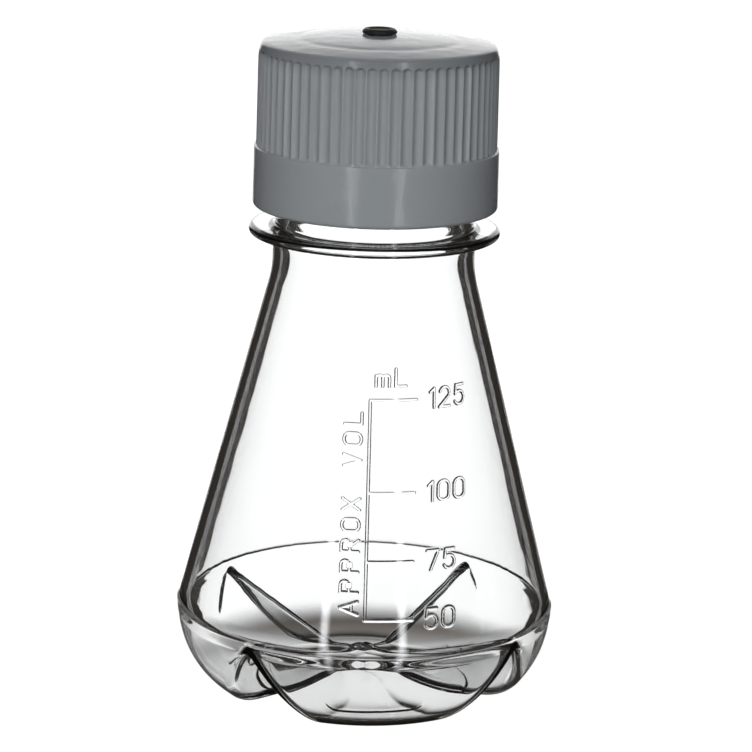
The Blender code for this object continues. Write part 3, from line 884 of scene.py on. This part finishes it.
def studio_light(s, x, y, z):
    """Brightness that reflections and refractions see in a direction given as the camera sees it.

    Ahead of the camera there is a bright backdrop between dark flags.
    Behind it stand two upright strip lights.
    """
    sideways = s.math("ABSOLUTE", s.math("DIVIDE", x, z))
    upward = s.math("DIVIDE", y, z)
    across = s.step(sideways, WINDOW_HALF, WINDOW_HALF + WINDOW_SOFT, 1.0, 0.0)
    top = s.step(upward, *WINDOW_TOP, 1.0, 0.0)
    bottom = s.step(upward, *WINDOW_BOTTOM)
    window = s.math("MULTIPLY", across, s.math("MULTIPLY", top, bottom))
    window = s.math("MAXIMUM", s.math("MULTIPLY", window, BACKDROP_LIGHT), FLAG_LIGHT)
    raised = s.math("MAXIMUM", upward, 0.0)
    mirrored = s.math("SUBTRACT", sideways, s.math("MULTIPLY", raised, MIRROR_LEAN))
    mirrored = s.step(mirrored, *MIRROR_EDGE, 1.0, 0.0)
    mirrored = s.math("MULTIPLY", mirrored, s.step(upward, *MIRROR_FADE))
    mirrored = s.math("MULTIPLY", mirrored, s.step(upward, *MIRROR_FOOT))
    mirrored = s.math("MAXIMUM", mirrored, FLAG_LIGHT)
    through = s.add("LightPath").outputs["Is Transmission Ray"]
    backdrop = s.add("Mix", {"Factor": through, "A": mirrored, "B": window}).outputs["Result"]
    strip = s.math("ABSOLUTE", s.math("SUBTRACT", sideways, STRIP_OFFSET))
    strip = s.step(strip, *STRIP_EDGE, STRIP_LIGHT, 0.0)
    strip = s.math("MULTIPLY", strip, s.step(s.math("ABSOLUTE", upward), *STRIP_END, 1.0, 0.0))
    behind = s.math("ADD", strip, FILL_LIGHT)
    front = s.math("GREATER_THAN", z, 0.0)
    return s.add("Mix", {"Factor": front, "A": behind, "B": backdrop}).outputs["Result"]


def light_tint(s, light, z):
    """Strip lights are a little blue, and the dark flags a little brown."""
    ahead = s.tint(s.step(light, 0.03, 0.5), (1.15, 1.0, 0.86), (1.0, 1.0, 1.0))
    front = s.math("GREATER_THAN", z, 0.0)
    return s.add("MixRGB", {"Fac": front, "Color1": (0.98, 0.995, 1.02, 1), "Color2": ahead}).outputs[0]


def for_rays(s, light, **levels):
    """Replaces a brightness for some kinds of rays."""
    path = s.add("LightPath")
    for kind, level in levels.items():
        factor = path.outputs[f"Is {kind} Ray"]
        light = s.add("Mix", {"Factor": factor, "A": light, "B": level}).outputs["Result"]
    return light


def studio_world():
    """Sharp reflections see the studio, and matt surfaces see one broad light beside the camera."""
    world = bpy.data.worlds.new("studio")
    bpy.context.scene.world = world
    world.use_nodes = True
    world.cycles.sampling_method = "NONE"
    s = Shader(world.node_tree)
    x, y, z = s.add("SeparateXYZ", {0: s.add("TexCoord").outputs["Camera"]}).outputs
    aim = [s.math("MULTIPLY", part, share) for part, share in zip((x, z), SOFT_AIM)]
    towards = s.math("ADD", *aim)
    soft = s.step(towards, -0.75, -1.0, FILL_LIGHT, SOFT_LIGHT)
    light = for_rays(s, studio_light(s, x, y, z), Diffuse=soft, Camera=1.0)
    background = s.add("Background", {"Color": light_tint(s, light, z), "Strength": light})
    s.finish(background.outputs[0], "OutputWorld")


def studio_floor():
    """A pale floor that also shows the studio's bright and dark parts to sharp reflections."""
    bpy.ops.mesh.primitive_plane_add(size=8.0, location=(0, 0, -0.02 * MM))
    floor = bpy.context.object
    floor.name = "studio_floor"
    material, s = new_material("pale_floor")
    geometry = s.add("NewGeometry")
    incoming = s.add("VectorTransform", {"Vector": geometry.outputs["Incoming"]}, vector_type="VECTOR",
                     convert_from="WORLD", convert_to="CAMERA").outputs[0]
    x, y, z = s.add("SeparateXYZ", {0: incoming}).outputs
    x, y, z = (s.math("MULTIPLY", part, -1.0) for part in (x, y, z))
    distance = s.add("VectorMath", {0: geometry.outputs["Position"]}, operation="LENGTH").outputs["Value"]
    depth = s.add("VectorTransform", {"Vector": geometry.outputs["Position"]}, vector_type="VECTOR",
                  convert_from="WORLD", convert_to="CAMERA").outputs[0]
    depth = s.add("SeparateXYZ", {0: depth}).outputs["Z"]
    darkest = s.step(depth, 0.0, FLOOR_SHADE[0], FLOOR_SHADE_FRONT, FLOOR_SHADE_BACK)
    shade = s.step(distance, *FLOOR_SHADE, darkest, 1.0)
    pool = s.step(distance, *FLOOR_POOL)
    light = s.math("MULTIPLY", studio_light(s, x, y, z), s.math("MAXIMUM", shade, pool))
    light = s.math("MAXIMUM", light, FLAG_LIGHT)
    level = for_rays(s, light, Diffuse=0.3, Camera=1.3)
    cloud = s.noise(6.0, 2.0, 0.5, s.add("TexCoord").outputs["Object"])
    grey = s.math("MULTIPLY", level, s.step(cloud, 0.2, 0.8, 0.30, 0.32))
    colour = s.add("CombineColor", {0: grey, 1: grey, 2: grey}).outputs[0]
    matt = s.add("BsdfDiffuse", {"Color": colour})
    strength = s.math("MULTIPLY", level, 0.72)
    glow = s.add("Emission", {"Color": light_tint(s, level, z), "Strength": strength})
    s.finish(s.add("AddShader", {0: matt.outputs[0], 1: glow.outputs[0]}).outputs[0])
    floor.data.materials.append(material)


KEY_SPREAD = math.radians(80)
KEY_TILT = math.radians(12)
KEY_LIGHT = 0.4


def studio_key():
    """One broad soft light from overhead."""
    lamp = bpy.data.lights.new("overhead", "SUN")
    lamp.angle = KEY_SPREAD
    lamp.energy = KEY_LIGHT
    key = bpy.data.objects.new("overhead", lamp)
    bpy.context.scene.collection.objects.link(key)
    key.rotation_euler = (KEY_TILT, 0, 0)
    key.visible_glossy = False
    key.visible_transmission = False


CAMERA_AZIMUTH = math.radians(-8.2)
CAMERA_PITCH = math.radians(14.28)
CAMERA_ROLL = math.radians(-1.6)
CAMERA_SHIFT = 1.0 * MM  # to its right
CAMERA_REACH = 536.95 * MM
CAMERA_HEIGHT = 194.1 * MM
CAMERA_LENS = 149.0


def studio_camera():
    """The camera looks down a little at the flask from in front of its scale."""
    data = bpy.data.cameras.new("camera")
    data.lens = CAMERA_LENS
    data.sensor_width = 36.0
    data.clip_start, data.clip_end = 0.01, 20.0
    camera = bpy.data.objects.new("camera", data)
    bpy.context.scene.collection.objects.link(camera)
    side = (math.sin(CAMERA_AZIMUTH), -math.cos(CAMERA_AZIMUTH))
    right = Vector((-side[1], side[0], 0))
    stand = Vector((side[0] * CAMERA_REACH, side[1] * CAMERA_REACH, CAMERA_HEIGHT))
    camera.location = stand + right * CAMERA_SHIFT
    level = math.cos(CAMERA_PITCH)
    ahead = Vector((-side[0] * level, -side[1] * level, -math.sin(CAMERA_PITCH)))
    turn = ahead.to_track_quat("-Z", "Y")
    camera.rotation_mode = "QUATERNION"
    camera.rotation_quaternion = turn
    camera.rotation_quaternion.rotate(Quaternion(ahead, CAMERA_ROLL))
    bpy.context.scene.camera = camera
    return camera


def studio():
    scene = bpy.context.scene
    scene.view_settings.view_transform = "Standard"
    scene.cycles.max_bounces = 24
    scene.cycles.transmission_bounces = 24
    studio_world()
    studio_floor()
    studio_camera()
    studio_key()


# The model ---------------------------------------------------------------------------------------


def place(piece, material, body, node, slot):
    piece.data.materials.clear()
    piece.data.materials.append(material)
    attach(piece, body)
    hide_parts(node)


place(flask_body(), clear_plastic(), "flask", "flask_body", "clear_plastic")
place(cap_shell(), grey_plastic(), "cap", "cap_shell", "grey_plastic")
place(seal_liner(), liner_foam(), "liner", "seal_liner", "liner_foam")
place(vent_membrane(), membrane_film(), "cap", "vent_membrane", "membrane")
place(membrane_ring(), natural_plastic(), "cap", "membrane_ring", "natural_plastic")
place(vent_plug(), black_rubber(), "plug", "vent_plug", "black_rubber")
studio()
